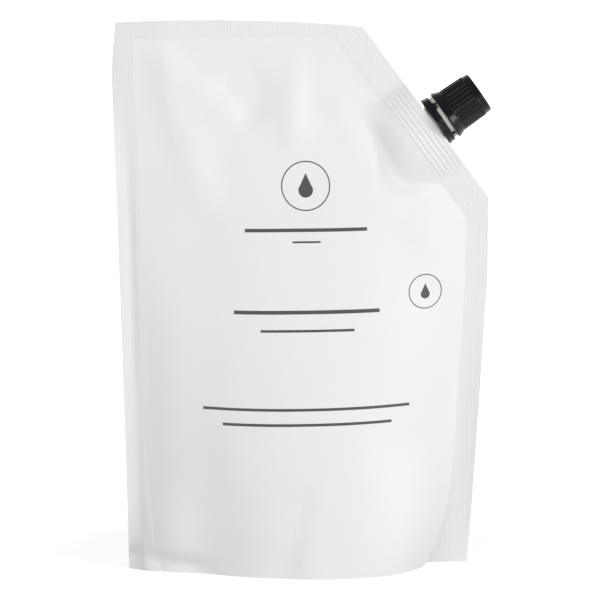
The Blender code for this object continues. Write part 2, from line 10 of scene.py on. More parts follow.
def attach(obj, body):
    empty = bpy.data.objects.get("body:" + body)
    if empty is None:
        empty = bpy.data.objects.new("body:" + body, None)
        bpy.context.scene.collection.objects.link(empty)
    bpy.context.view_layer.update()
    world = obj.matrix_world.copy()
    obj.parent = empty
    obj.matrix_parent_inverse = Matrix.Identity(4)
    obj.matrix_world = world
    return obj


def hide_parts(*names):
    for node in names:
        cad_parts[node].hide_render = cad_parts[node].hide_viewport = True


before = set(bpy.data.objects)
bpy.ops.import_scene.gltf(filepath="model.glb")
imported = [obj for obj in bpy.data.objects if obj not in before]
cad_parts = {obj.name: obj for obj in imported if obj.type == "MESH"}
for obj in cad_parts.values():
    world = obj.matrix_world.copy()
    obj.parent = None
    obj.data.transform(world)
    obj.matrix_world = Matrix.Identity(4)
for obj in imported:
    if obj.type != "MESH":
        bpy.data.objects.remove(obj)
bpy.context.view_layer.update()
MM = 0.001

# Pouch outline, seals and fins, in millimetres, as the solids have them
FILM_WIDTH = 160.4
TOP_HEIGHT = 236.0
TOP_PEAK_IN = 33.0
TOP_DROOP = 3.4
TOP_DROOP_SPAN = 73.0
LEFT_DRAW_IN = 7.0
LEFT_SHOULDER_DROP = 26.0
LEFT_CORNER_DRAW = 1.5
RIGHT_DRAW_IN = 7.9
RIGHT_DRAW_HEIGHT = 125.0
CUT_ACROSS = 54.3
CUT_DROP = 77.0
SIDE_SEAL = 9.2
TOP_SEAL = 7.8
CUT_SEAL = 12.6
SEAL_THICKNESS = 0.7
SKIRT_THICKNESS = 0.3
FIN_HEIGHT = 40.0
LEFT_FIN_EXTRA = 4.3
RIGHT_FIN_EXTRA = 8.3

# Belly. Each pair is a value at the base and what is added to it higher up.
FRONT_DEPTH = 28.0
BACK_DEPTH = 25.0
BELLY_POWER = 1.55
BASE_CENTRE_X = 4.0
BASE_BLEND = 60.0
RIGHT_POWER = (3.0, -0.7)
RIGHT_FULLNESS = (0.64, 0.4)
LEFT_POWER = (1.7, 0.6)
LEFT_FULLNESS = (1.0, 0.05)

# Step of the front film beside the left seal, which the solids leave out
STEP_HEIGHT = 2.0
STEP_OUT = 5.0
STEP_RISE = 4.6
STEP_EASE_START = 6.0
STEP_EASE = 30.0
STEP_TOP = 200.0
STEP_TOP_FADE = 60.0
STEP_BASE_FADE = 25.0

# Base fold and the skirts under it
ARCH_LOW = 5.0
ARCH_END = 34.0
ARCH_POWER = 3.2
FOLD_FLAT = 0.42
FOLD_SINK = 1.5
FOLD_POWER = 2.4
FLOOR_GAP = 0.05

# Curl of the side seals towards the front, and the left end of the base, which stands forward
LEFT_CURL = 3.6
LEFT_CURL_REACH = 6.4
RIGHT_CURL = 2.6
RIGHT_CURL_TOP = 0.51
CURL_START = 30.0
CURL_FADE = 60.0
CURL_POWER = 1.5
BASE_SWING = 7.0
BASE_SWING_IN = 13.0
BASE_SWING_WIDTH = 14.0
BASE_SWING_HEIGHT = 30.0

# Folds of the film as (start, end, half width, height, sharpness), with places on the front as (x, z)
SOLID_FOLDS = (
    ((-66.2, 226.5), (-18.2, 184.5), 6.0, 1.2, 0.0),
    ((-36.2, 214.5), (-16.2, 190.5), 9.0, -1.3, 0.0),
    ((-22.2, 228.5), (5.8, 178.5), 8.0, 1.0, 0.0),
    ((35.8, 205.5), (49.8, 160.5), 8.0, -1.8, 0.0),
)
FINE_FOLDS = (
    ((-70.0, 242.0), (-36.0, 146.0), 8.0, 2.0, 0.0),
    ((-1.0, 228.0), (-6.0, 176.0), 5.0, 0.9, 0.0),
    ((10.0, 206.0), (27.0, 176.0), 5.0, 0.5, 0.0),
    ((11.0, 230.0), (31.0, 202.0), 3.2, -1.1, -0.4),
    ((-52.0, 224.0), (-38.0, 176.0), 6.0, 0.4, 0.0),
    ((0.0, 46.0), (-12.0, -14.0), 7.5, -1.3, 0.3),
    ((26.0, 168.0), (66.0, 132.0), 7.0, 0.4, 0.0),
    ((33.0, 156.0), (58.0, 104.0), 9.0, -0.3, 0.0),
)
SEAL_FOLDS = (((-84.0, 7.2), (-34.0, 2.0), 3.8, 2.0, 0.0),)
FOLD_END_SHARE = 0.3

# Dents as (centre, half sizes, turn in degrees, height)
FINE_DENTS = (
    ((-20.0, 205.0), (9.0, 15.0), -20.0, -1.6),
    ((-45.0, 62.0), (11.0, 70.0), 0.0, -0.7),
)

# Slow waves of the film as (seed, size, height)
FRONT_WAVES = ((3.1, 30.0, 0.5), (8.4, 12.0, 0.1))
BACK_WAVES = ((17.2, 26.0, 0.9),)

# Spout and its weld base
SPOUT_ALONG = 51.7
SPOUT_SEAT = 0.6
SPOUT_LEAN = 1.8
BOAT_HALF = 20.75
BOAT_DEPTH = 7.45
BOAT_TIP = 0.15
BOAT_LOW = -12.4
BOAT_HIGH = -2.2
BOAT_RIBS = 5
BOAT_RIB_CUT = 0.35
BOAT_RIB_START = 0.45
BOAT_RIB_SLOPE = 0.4
BOAT_PLAIN_END = 0.4
BORE_RADIUS = 6.2
NECK_RADIUS = 7.6
NECK_LOW = BOAT_HIGH - 4.0
NECK_TOP = 20.0
FLANGE_RADIUS = 8.6
FLANGE_LOW = -0.05
FLANGE_HIGH = 0.35
BEAD_RADIUS = 9.8
BEAD_LOW = 3.3
BEAD_HIGH = 5.2
BEAD_END = 6.4
THREAD_PITCH = 3.0
THREAD_DEPTH = 0.5
THREAD_START = 8.2
THREAD_LOW = 7.8
THREAD_HIGH = 18.4
THREAD_FADE = 0.8
THREAD_HALF = 0.24
THREAD_FLANK = 0.12

# Film over the weld base: its lip past the base's ends, and how it slopes off inside the pouch
LIP_REACH = 0.9
LIP_DEPTH = 0.6
LIP_FADE = 3.0
SLOPE_LENGTH = 15.0
SLOPE_EXTRA = 17.0
SLOPE_EXTRA_START = -14.0
SLOPE_EXTRA_FADE = 26.0
SLOPE_WIDENS = 0.6
VALLEY_WIDTH = 5.0
VALLEY_START = 4.0

# Ribs of the weld base, pressed through the film
RIB_PITCH = 2.05
RIB_PRESS = 0.4
RIB_HALF_LENGTH = 21.6
RIBS_LOW = -13.2
RIBS_HIGH = -1.7
RIBS_PHASE = 2.2
RIBS_END_FADE = 1.2
RIBS_LOW_FADE = 0.8
RIBS_HIGH_FADE = 0.6
RIBS_POWER = 1.6

# Looks of the seals: where the cut corner's knurl fades out, and the seals' share of the sealed colour. The
# extra share at the left end of the seals is painted shade.
KNURL_INSET = 1.0
KNURL_FADE = 3.0
KNURL_LOW_FADE = 12.0
GREY_ALL_ROUND = 0.3
LEFT_PAINTED_SHADE = 0.6
LEFT_PAINTED_SHADE_X = -54.0
LEFT_PAINTED_SHADE_FADE = 10.0

# Tamper band and its bridges, with angles in degrees from the front towards the low end of the cut
BAND_LOW = 0.05
BAND_STEP = 1.2
BAND_HIGH = 3.2
BAND_LIP_RADIUS = 11.1
BAND_RADIUS = 10.8
BAND_INNER = 10.1
BAND_LOCK = 9.1
BAND_GROOVE = 1.85
BAND_GROOVE_DEPTH = 0.18
BRIDGE_ANGLES = (-50.0, 40.0, 130.0, 220.0)
BRIDGE_HALF = 2.2
BRIDGE_RISE = 1.5
RATCHET_ANGLE = -42.0
RATCHET_HALF = 5.0
RATCHET_RISE = 1.1
TOOTH_SLOPE = 0.5

# Screw cap and its sealing disc
CAP_LOW = 5.0
CAP_LIP_HIGH = 5.7
CAP_LIP_RADIUS = 11.0
CAP_FLARE_HIGH = 8.6
CAP_RIB_RADIUS = 9.75
CAP_RIB_HIGH = 20.1
CAP_TOP_RADIUS = 9.5
CAP_RIBS = 30
CAP_RIB_DEPTH = 0.42
CAP_RIM_RADIUS = 9.3
CAP_TOP = 22.9
CAP_TOP_WALL = 1.5
CAP_SKIRT_INNER = 10.3
CAP_INNER = 8.5
GROOVE_START = 0.34
GROOVE_SLOPE = 0.34
GROOVE_FOOT = 0.7
GROOVE_HEAD = 0.25
DISC_RADIUS = 8.2
DISC_LOW = 20.3
DISC_HIGH = 21.1

# Mesh pitches and counts
FRONT_PITCH = 0.85
BACK_PITCH = 1.3
SEAL_COLUMNS = 19
CUT_COLUMNS = 49
OPEN_WIDTH = 142.0
DROOP_START = 205.0
BASE_COLUMNS = 150
BASE_HEIGHTS = 60
SKIRT_ROWS = 8
FOLD_ROWS = 24
BOAT_COLUMNS = 61
BOAT_ROWS = 52
SIDES_PER_RIB = 14
BAND_SIDES = 720
NECK_SIDES = 180
DISC_SIDES = 96
NEAR_AXIS = 0.02
PLASTIC_SHARP = 40.0
FILM_SHARP = 50.0

# Generic print, in millimetres: rings as (x, z, radius, half width),
# drops as (x, z, radius of the round end) and bars as (z, half length, half height)
PRINT_X = 1.2
SIDE_PRINT_X = 52.5
RINGS = ((PRINT_X, 166.0, 10.2, 0.26), (SIDE_PRINT_X, 120.0, 7.2, 0.22))
DROPS = ((PRINT_X, 164.2, 3.1), (SIDE_PRINT_X, 118.9, 2.0))
BARS = (
    (147.6, 26.0, 0.75),
    (142.6, 6.0, 0.4),
    (113.4, 31.0, 0.8),
    (105.6, 20.0, 0.55),
    (72.6, 44.0, 0.6),
    (66.2, 36.0, 0.6),
)
DROP_LENGTH = 2.3
DROP_SLOPE = 0.46
DROP_SHOULDER = 0.42

# Colours. Where there are two, a soft noise mixes them.
INK = (0.075, 0.075, 0.08)
FILM_COLOURS = ((0.832, 0.844, 0.856), (0.862, 0.871, 0.882))
# The seals get more of this colour at their left end, as painted shade
SEALED_COLOUR = (0.797, 0.802, 0.808)
BLACK_COLOURS = ((0.0045, 0.004, 0.006), (0.007, 0.006, 0.009))
NATURAL_COLOURS = ((0.70, 0.68, 0.62), (0.76, 0.74, 0.69))
FOAM_COLOURS = ((0.78, 0.78, 0.75), (0.84, 0.84, 0.82))
WHITE = (1.0, 1.0, 1.0)

# Stage, in metres: the floor glows plain white beyond the pack, and less near it, so that its shadow shows
FLOOR_HALF = 6.0
FLOOR_COLOUR = (0.6, 0.6, 0.6)
FLOOR_GLOW = {"From Min": 0.1, "From Max": 0.28, "To Min": 0.63, "To Max": 1.0}
WORLD_LIGHT = 0.48

# Lamps as (name, place, target, size, watts)
LAMPS = (
    ("key", (1.67, -1.17, 0.4), (0.0, 0.0, 0.1), (1.1, 0.6), 18.5),
    ("fill", (-1.3, -1.6, 0.4), (0.0, 0.0, 0.05), (1.0, 0.7), 10.5),
    ("front", (0.3, -2.6, 0.25), (0.0, 0.0, 0.03), (1.2, 0.45), 5.5),
    ("back", (-0.6, 2.3, 1.0), (0.0, 0.0, 0.1), (2.2, 1.6), 9.0),
)

# Camera, with angles in degrees and places in metres
CAMERA_AZIMUTH = -6.026
CAMERA_ELEVATION = 10.546
CAMERA_ROLL = 0.225
CAMERA_DISTANCE = 2.2
CAMERA_TARGET = (-0.001082, -0.008, 0.117131)
SENSOR_WIDTH = 36.0
PICTURE_PIXELS = 600
PIXEL_SIZE = 0.424 * MM
CLIP_END = 20.0


def smooth(value):
    value = np.clip(value, 0.0, 1.0)
    return value * value * (3.0 - 2.0 * value)


def bump(distance, reach):
    return np.exp(-((distance / reach) ** 2))


def crease(x, z, start, end, width, sharp):
    """A ridge along a line on the front, 1 on the line. sharp makes its lower side steeper."""
    start, end = np.array(start), np.array(end)
    line = end - start
    length = np.linalg.norm(line)
    line = line / length
    dx, dz = x - start[0], z - start[1]
    along = (dx * line[0] + dz * line[1]) / length
    across = dx * line[1] - dz * line[0]
    reach = width * (1.0 + sharp * np.tanh(across / width))
    return bump(across, reach) * smooth(along / FOLD_END_SHARE) * smooth((1.0 - along) / FOLD_END_SHARE)


def folds(x, z, table):
    """Height of the film from all the folds of a table."""
    return sum(height * crease(x, z, start, end, width, sharp) for start, end, width, height, sharp in table)


def dent(x, z, centre, size, angle):
    c, s = math.cos(math.radians(angle)), math.sin(math.radians(angle))
    dx, dz = x - centre[0], z - centre[1]
    u, v = (dx * c + dz * s) / size[0], (-dx * s + dz * c) / size[1]
    return np.exp(-(u * u + v * v))


BELLY_TOP = TOP_HEIGHT - TOP_SEAL
LEFT_SHOULDER = TOP_HEIGHT - LEFT_SHOULDER_DROP
TOP_PEAK_X = TOP_PEAK_IN - FILM_WIDTH / 2.0
CUT_TOP_X = FILM_WIDTH / 2.0 - CUT_ACROSS
CUT_LOW_Z = TOP_HEIGHT - CUT_DROP


# The outline's sides. The film draws in towards the base, where the belly takes up its width.
def edge_left(z):
    drawn = LEFT_DRAW_IN * (1.0 - np.minimum(z / LEFT_SHOULDER, 1.0))
    corner = LEFT_CORNER_DRAW * np.maximum(0.0, (z - LEFT_SHOULDER) / (TOP_HEIGHT - LEFT_SHOULDER)) ** 2
    return -FILM_WIDTH / 2.0 + drawn + corner


def edge_right(z):
    return FILM_WIDTH / 2.0 - RIGHT_DRAW_IN * np.maximum(0.0, 1.0 - z / RIGHT_DRAW_HEIGHT)


def edge_top(x):
    return TOP_HEIGHT - TOP_DROOP * ((x - TOP_PEAK_X) / TOP_DROOP_SPAN) ** 2


CUT_TOP = np.array((CUT_TOP_X, edge_top(CUT_TOP_X)))
CUT_LOW = np.array((float(edge_right(CUT_LOW_Z)), CUT_LOW_Z))
CUT_ALONG = (CUT_LOW - CUT_TOP) / np.linalg.norm(CUT_LOW - CUT_TOP)
CUT_OUT = np.array((-CUT_ALONG[1], CUT_ALONG[0]))
SPOUT_BASE = CUT_TOP + CUT_ALONG * SPOUT_ALONG + CUT_OUT * SPOUT_SEAT
SPOUT_ANGLE = math.atan2(CUT_OUT[1], CUT_OUT[0])
SPOUT_FOOT = Matrix.Translation((SPOUT_BASE[0] * MM, 0.0, SPOUT_BASE[1] * MM))
WELD_PLACE = SPOUT_FOOT @ Matrix.Rotation(math.pi / 2.0 - SPOUT_ANGLE, 4, "Y")
SPOUT_PLACE = WELD_PLACE @ Matrix.Rotation(math.radians(SPOUT_LEAN), 4, "Y")


def spout_frame(x, z):
    """Place on the front seen from the spout: along the cut edge, and out along the spout's axis."""
    dx, dz = x - SPOUT_BASE[0], z - SPOUT_BASE[1]
    return dx * CUT_ALONG[0] + dz * CUT_ALONG[1], dx * CUT_OUT[0] + dz * CUT_OUT[1]


def cut_x(z, inset=0.0):
    start = CUT_TOP - CUT_OUT * inset
    return start[0] + CUT_ALONG[0] * (z - start[1]) / CUT_ALONG[1]


def fin_extra(z, extra):
    return extra * np.maximum(0.0, 1.0 - z / FIN_HEIGHT) ** 2


def inner_left(z):
    return edge_left(z) + SIDE_SEAL + fin_extra(z, LEFT_FIN_EXTRA)


def inner_right(z):
    return np.minimum(edge_right(z) - SIDE_SEAL - fin_extra(z, RIGHT_FIN_EXTRA), cut_x(z, CUT_SEAL))


def belly_share(x, z):
    """How much of the full depth the film reaches here: 1 on the ridge of the belly, 0 at the seals."""
    left, right = inner_left(z), inner_right(z)
    up = smooth(z / BASE_BLEND)
    centre = BASE_CENTRE_X * (1.0 - up) + 0.5 * (left + right) * up
    to_right = x >= centre
    side = np.where(to_right, (x - centre) / np.maximum(right - centre, 0.1), (centre - x) / (centre - left))
    power = np.where(to_right, RIGHT_POWER[0] + RIGHT_POWER[1] * up, LEFT_POWER[0] + LEFT_POWER[1] * up)
    full_right = RIGHT_FULLNESS[0] + RIGHT_FULLNESS[1] * up
    full_left = LEFT_FULLNESS[0] + LEFT_FULLNESS[1] * up
    full = np.where(to_right, full_right, full_left)
    share = np.maximum(0.0, 1.0 - np.clip(side, 0.0, 1.0) ** power) ** full
    return np.where((x > left) & (x < right) & (z < BELLY_TOP), share, 0.0)


def belly_profile(z):
    return np.maximum(0.0, np.cos(0.5 * math.pi * np.minimum(z / BELLY_TOP, 1.0))) ** BELLY_POWER


def film_over_boat(x, z):
    """Depth of the film over the weld base. Inside the pouch it slopes off gently, more so at the low end."""
    along, out = spout_frame(x, z)
    half = BOAT_HALF + LIP_REACH
    reach = SLOPE_LENGTH + SLOPE_EXTRA * smooth((along - SLOPE_EXTRA_START) / SLOPE_EXTRA_FADE)
    inside = smooth((-SPOUT_SEAT - CUT_SEAL - out) / reach)
    half = half * (1.0 + SLOPE_WIDENS * inside)
    lens = BOAT_DEPTH * np.maximum(0.0, 1.0 - (along / half) ** 2) ** (1.0 + inside)
    lip = LIP_DEPTH * (1.0 - smooth((np.abs(along) - half) / LIP_FADE))
    return (lens + lip) * (1.0 - inside)


def film_middle(x, z):
    """Depth of the seal plane: the side seals curl forward, and the left end of the base stands forward."""
    left = np.maximum(0.0, 1.0 - (x - edge_left(z)) / LEFT_CURL_REACH)
    right = np.maximum(0.0, 1.0 - (edge_right(z) - x) / SIDE_SEAL)
    up = smooth(z / CURL_START)
    curl = LEFT_CURL * left**CURL_POWER * up * smooth((LEFT_SHOULDER - z) / CURL_FADE)
    curl = curl + RIGHT_CURL * right**CURL_POWER * up * smooth((RIGHT_CURL_TOP * TOP_HEIGHT - z) / CURL_FADE)
    swing = BASE_SWING * bump(x - edge_left(0.0) - BASE_SWING_IN, BASE_SWING_WIDTH)
    swing = swing * bump(z, BASE_SWING_HEIGHT) * (1.0 - left)
    return folds(x, z, SEAL_FOLDS) - curl - swing


def front_detail(x, z):
    """Finer folds and dents of the front film that the solids leave out."""
    dents = sum(height * dent(x, z, centre, size, angle) for centre, size, angle, height in FINE_DENTS)
    return dents + folds(x, z, FINE_FOLDS)


def left_step(x, z):
    """The film's step up from the left seal, eased off towards the middle, the top and the base."""
    inward = x - inner_left(z) + STEP_OUT
    rise = smooth(inward / STEP_RISE) * (1.0 - smooth((inward - STEP_EASE_START) / STEP_EASE))
    return STEP_HEIGHT * rise * smooth((STEP_TOP - z) / STEP_TOP_FADE) * smooth(z / STEP_BASE_FADE)


def blended(a, b):
    """The larger of two heights, with a soft valley where they cross."""
    width = VALLEY_WIDTH * smooth(np.minimum(a, b) / VALLEY_START)
    return 0.5 * (a + b + np.sqrt((a - b) ** 2 + width**2)) - 0.25 * width


def front_y(x, z, fine):
    share = belly_share(x, z)
    relief = (folds(x, z, SOLID_FOLDS) + fine) * np.minimum(1.0, 2.0 * share)
    belly = FRONT_DEPTH * belly_profile(z) * share + relief + left_step(x, z)
    return film_middle(x, z) - SEAL_THICKNESS / 2.0 - np.maximum(blended(belly, film_over_boat(x, z)), 0.0)


def back_y(x, z, fine=0.0):
    share = belly_share(x, z)
    belly = BACK_DEPTH * belly_profile(z) * share + fine * np.minimum(1.0, 2.0 * share)
    return film_middle(x, z) + SEAL_THICKNESS / 2.0 + np.maximum(belly, film_over_boat(x, z))


# Helpers for the nodes of a material
def new_material(name):
    mat = bpy.data.materials.new(name)
    mat.use_nodes = True
    tree = mat.node_tree
    return mat, tree, tree.nodes["Principled BSDF"]


def put(tree, socket, value):
    if isinstance(value, bpy.types.NodeSocket):
        tree.links.new(value, socket)
    elif isinstance(value, tuple) and len(value) == 3 and socket.type == "RGBA":
        socket.default_value = (*value, 1.0)
    else:
        socket.default_value = value


def maths(tree, operation, *values):
    node = tree.nodes.new("ShaderNodeMath")
    node.operation = operation
    for socket, value in zip(node.inputs, values):
        put(tree, socket, value)
    return node.outputs[0]


def distance_from_axis(tree, a, b):
    squares = maths(tree, "ADD", maths(tree, "MULTIPLY", a, a), maths(tree, "MULTIPLY", b, b))
    return maths(tree, "SQRT", squares)


def mix_colour(tree, factor, a, b):
    node = tree.nodes.new("ShaderNodeMix")
    node.data_type = "RGBA"
    put(tree, node.inputs[0], factor)
    put(tree, node.inputs[6], a)
    put(tree, node.inputs[7], b)
    return node.outputs[2]


def texture_noise(tree, vector, scale, detail):
    node = tree.nodes.new("ShaderNodeTexNoise")
    put(tree, node.inputs["Vector"], vector)
    node.inputs["Scale"].default_value = scale
    node.inputs["Detail"].default_value = detail
    node.inputs["Roughness"].default_value = 0.55
    return node.outputs[0]


def bumped(tree, height, distance, normal=None):
    node = tree.nodes.new("ShaderNodeBump")
    node.inputs["Strength"].default_value = 1.0
    node.inputs["Distance"].default_value = distance
    put(tree, node.inputs["Height"], height)
    if normal:
        tree.links.new(normal, node.inputs["Normal"])
    return node.outputs[0]


def object_coordinates(tree):
    return tree.nodes.new("ShaderNodeTexCoord").outputs["Object"]


def separated(tree, vector):
    """The X, Y and Z of a vector, in metres."""
    node = tree.nodes.new("ShaderNodeSeparateXYZ")
    tree.links.new(vector, node.inputs[0])
    return tuple(node.outputs)


def attribute(tree, name):
    node = tree.nodes.new("ShaderNodeAttribute")
    node.attribute_name = name
    return node.outputs["Fac"]


def any_ray(tree, *kinds):
    """1 for rays of these kinds, 0 for all others."""
    path = tree.nodes.new("ShaderNodeLightPath")
    found = path.outputs[kinds[0]]
    for kind in kinds[1:]:
        found = maths(tree, "MAXIMUM", found, path.outputs[kind])
    return found


def print_mask(tree, x, z):
    """Plain generic print: a ring with a drop, thin bars, and a small ring with a drop at the right."""

    def near(value, middle, half):
        return maths(tree, "COMPARE", value, middle * MM, half * MM)

    def ring(cx, cz, radius, half):
        across = maths(tree, "SUBTRACT", x, cx * MM)
        up = maths(tree, "SUBTRACT", z, cz * MM)
        return near(distance_from_axis(tree, across, up), radius, half)

    def drop(cx, cz, size):
        body = ring(cx, cz, 0.0, size)
        below_tip = maths(tree, "SUBTRACT", (cz + DROP_LENGTH * size) * MM, z)
        side = maths(tree, "ABSOLUTE", maths(tree, "SUBTRACT", x, cx * MM))
        cone = maths(tree, "LESS_THAN", side, maths(tree, "MULTIPLY", below_tip, DROP_SLOPE))
        above = maths(tree, "GREATER_THAN", z, (cz + DROP_SHOULDER * size) * MM)
        return maths(tree, "MAXIMUM", body, maths(tree, "MULTIPLY", cone, above))

    def bar(cz, half_x, half_z):
        return maths(tree, "MULTIPLY", near(x, PRINT_X, half_x), near(z, cz, half_z))

    parts = [ring(*sizes) for sizes in RINGS]
    parts += [drop(*sizes) for sizes in DROPS]
    parts += [bar(*sizes) for sizes in BARS]
    total = parts[0]
    for part in parts[1:]:
        total = maths(tree, "MAXIMUM", total, part)
    return total


def film_material(name, printed):
    mat, tree, shader = new_material(name)
    coords = object_coordinates(tree)
    x, _, z = separated(tree, coords)
    cloud = texture_noise(tree, coords, scale=18.0, detail=2.0)
    colour = mix_colour(tree, cloud, *FILM_COLOURS)
    # Sealed colour on the seals, with painted shade on their left end from the same attribute
    colour = mix_colour(tree, attribute(tree, "seal_tone_and_shade"), colour, SEALED_COLOUR)
    if printed:
        colour = mix_colour(tree, print_mask(tree, x, z), colour, INK)
    put(tree, shader.inputs["Base Color"], colour)
    grain = texture_noise(tree, coords, scale=420.0, detail=3.0)
    put(tree, shader.inputs["Roughness"], maths(tree, "MULTIPLY_ADD", grain, 0.12, 0.4))
    shader.inputs["Specular IOR Level"].default_value = 0.35
    # Film grain, then the serrations of the side and top seals, then the knurl of the cut corner's seal
    normal = bumped(tree, grain, distance=0.05 * MM)
    serration_pitch = 1.5 * MM
    stripes = maths(tree, "SINE", maths(tree, "MULTIPLY", x, 2.0 * math.pi / serration_pitch))
    stripes = maths(tree, "MULTIPLY", stripes, attribute(tree, "serrated"))
    normal = bumped(tree, stripes, distance=0.03 * MM, normal=normal)
    knurl = texture_noise(tree, coords, scale=620.0, detail=1.5)
    knurl = maths(tree, "MULTIPLY", knurl, attribute(tree, "knurled"))
    normal = bumped(tree, knurl, distance=0.28 * MM, normal=normal)
    tree.links.new(normal, shader.inputs["Normal"])
    return mat


def plastic_material(name, colours, roughness, specular=0.5):
    mat, tree, shader = new_material(name)
    coords = object_coordinates(tree)
    cloud = texture_noise(tree, coords, scale=140.0, detail=3.0)
    put(tree, shader.inputs["Base Color"], mix_colour(tree, cloud, *colours))
    grain = texture_noise(tree, coords, scale=900.0, detail=2.0)
    put(tree, shader.inputs["Roughness"], maths(tree, "MULTIPLY_ADD", grain, 0.1, roughness))
    shader.inputs["Specular IOR Level"].default_value = specular
    tree.links.new(bumped(tree, grain, distance=0.02 * MM), shader.inputs["Normal"])
    return mat


def grid_object(name, points, material, closed_u=False, attributes=None, flip=False):
    """A smooth mesh from rows of points, in millimetres."""
    rows, cols = points.shape[:2]
    index = np.arange(rows * cols).reshape(rows, cols)
    right = np.roll(index, -1, axis=1) if closed_u else index[:, 1:]
    left = index if closed_u else index[:, :-1]
    quads = np.stack([left[:-1], right[:-1], right[1:], left[1:]], -1).reshape(-1, 4)
    if flip:
        quads = quads[:, ::-1]
    mesh = bpy.data.meshes.new(name)
    mesh.vertices.add(rows * cols)
    mesh.vertices.foreach_set("co", (points.reshape(-1, 3) * MM).astype(np.float32).ravel())
    mesh.loops.add(len(quads) * 4)
    mesh.loops.foreach_set("vertex_index", quads.astype(np.int32).ravel())
    mesh.polygons.add(len(quads))
    mesh.polygons.foreach_set("loop_start", np.arange(0, len(quads) * 4, 4, dtype=np.int32))
    mesh.update(calc_edges=True)
    mesh.validate()
    mesh.shade_smooth()
    for key, values in (attributes or {}).items():
        made = mesh.attributes.new(key, "FLOAT", "POINT")
        made.data.foreach_set("value", np.ascontiguousarray(values, np.float32).ravel())
    mesh.materials.append(material)
    obj = bpy.data.objects.new(name, mesh)
    bpy.context.scene.collection.objects.link(obj)
    return obj


def add_piece(obj, body, slot, *nodes):
    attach(obj, body)
    if nodes:
        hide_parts(*nodes)


def outline_grid(step):
    """Places on the pouch's front, row by row. Columns follow the sides and the cut edge, rows the top."""
    low = np.linspace(0.0, CUT_LOW_Z, int(CUT_LOW_Z / step) + 1)
    middle = np.linspace(CUT_LOW_Z, BELLY_TOP, int((BELLY_TOP - CUT_LOW_Z) / step) + 1)[1:]
    top = np.linspace(BELLY_TOP, TOP_HEIGHT, int((TOP_HEIGHT - BELLY_TOP) / step) + 2)[1:]
    level = np.concatenate([low, middle, top])[:, None]
    droop_share = np.clip((level - DROOP_START) / (TOP_HEIGHT - DROOP_START), 0.0, 1.0)

    def height(x):
        return level - droop_share * (TOP_HEIGHT - edge_top(x))

    # A point's height on the cut edge hangs on its x and its x on its height, so a few turns settle both
    right = np.where(level > CUT_LOW_Z, cut_x(level), edge_right(level))
    for _ in range(4):
        right = np.where(level > CUT_LOW_Z, cut_x(height(right)), right)
    left = edge_left(level)
    in_left, in_right = inner_left(level), np.minimum(inner_right(level), right - SIDE_SEAL)
    left_shares = np.linspace(0, 1, SEAL_COLUMNS)
    open_shares = np.linspace(0, 1, int(OPEN_WIDTH / step) + 1)[1:]
    right_shares = np.linspace(0, 1, CUT_COLUMNS)[1:]
    columns = [
        left + (in_left - left) * left_shares,
        in_left + (in_right - in_left) * open_shares,
        in_right + (right - in_right) * right_shares,
    ]
    x = np.concatenate(columns, axis=1)
    return x, height(x)


def waves(x, z, table):
    """Slow uneven waves of the film, from all the rows of a table."""
    out = np.zeros(x.size)
    for seed, size, height in table:
        values = [noise.noise((a / size, seed, b / size)) for a, b in zip(x.ravel(), z.ravel())]
        out += np.array(values) * height
    return out.reshape(x.shape)


def over_ribs(along, out):
    """1 where the film lies over the ribs of the weld base."""
    ends = smooth((RIB_HALF_LENGTH - np.abs(along)) / RIBS_END_FADE)
    return ends * smooth((out - RIBS_LOW) / RIBS_LOW_FADE) * smooth((RIBS_HIGH - out) / RIBS_HIGH_FADE)


def pressed_ribs(x, z):
    """The ribs of the weld base as they show through the film, parallel to the cut edge."""
    along, out = spout_frame(x, z)
    wave = (0.5 - 0.5 * np.cos(2.0 * math.pi * (out + RIBS_PHASE) / RIB_PITCH)) ** RIBS_POWER
    return RIB_PRESS * wave * over_ribs(along, out)


def seal_marks(x, z):
    """How the seals look: serrated at the sides and top, knurled at the cut, and greyer, with painted shade
    making them greyer still at the left.
    """
    sealed = np.where(belly_share(x, z) > 0.0, 0.0, 1.0)
    along, out = spout_frame(x, z)
    cut = smooth((out + SPOUT_SEAT + CUT_SEAL + KNURL_INSET) / KNURL_FADE)
    cut = cut * smooth((z - CUT_LOW_Z + KNURL_LOW_FADE) / KNURL_LOW_FADE)
    # The sealed colour all round, plus painted shade towards the left end of the seals
    seal_tone_and_shade = sealed * (GREY_ALL_ROUND + LEFT_PAINTED_SHADE * smooth((LEFT_PAINTED_SHADE_X - x) / LEFT_PAINTED_SHADE_FADE))
    return {"seal_tone_and_shade": seal_tone_and_shade, "serrated": sealed * (1.0 - cut), "knurled": cut * (1.0 - over_ribs(along, out))}


def front_fine(x, z):
    return front_detail(x, z) + waves(x, z, FRONT_WAVES)


def film_side(name, front, step, material):
    """The front or back film, with its cut edge turned back by the film's thickness all round."""
    x, z = outline_grid(step)
    marks = seal_marks(x, z)
    if front:
        y = front_y(x, z, front_fine(x, z)) - pressed_ribs(x, z)
        edge = SKIRT_THICKNESS
    else:
        y = back_y(x, z, waves(x, z, BACK_WAVES)) + pressed_ribs(x, z)
        edge = -SKIRT_THICKNESS
    points = np.stack([x, y, z], -1)
    rim = points + np.array((0.0, edge, 0.0))
    grid = np.concatenate([rim[:1], points, rim[-1:]], axis=0)
    sides = np.concatenate([rim[:1], rim, rim[-1:]], axis=0)
    grid = np.concatenate([sides[:, :1], grid, sides[:, -1:]], axis=1)
    marks = {key: np.pad(values, 1, mode="edge") for key, values in marks.items()}
    obj = grid_object(name, grid, material, attributes=marks, flip=not front)
    obj.data.set_sharp_from_angle(angle=math.radians(FILM_SHARP))
    return obj


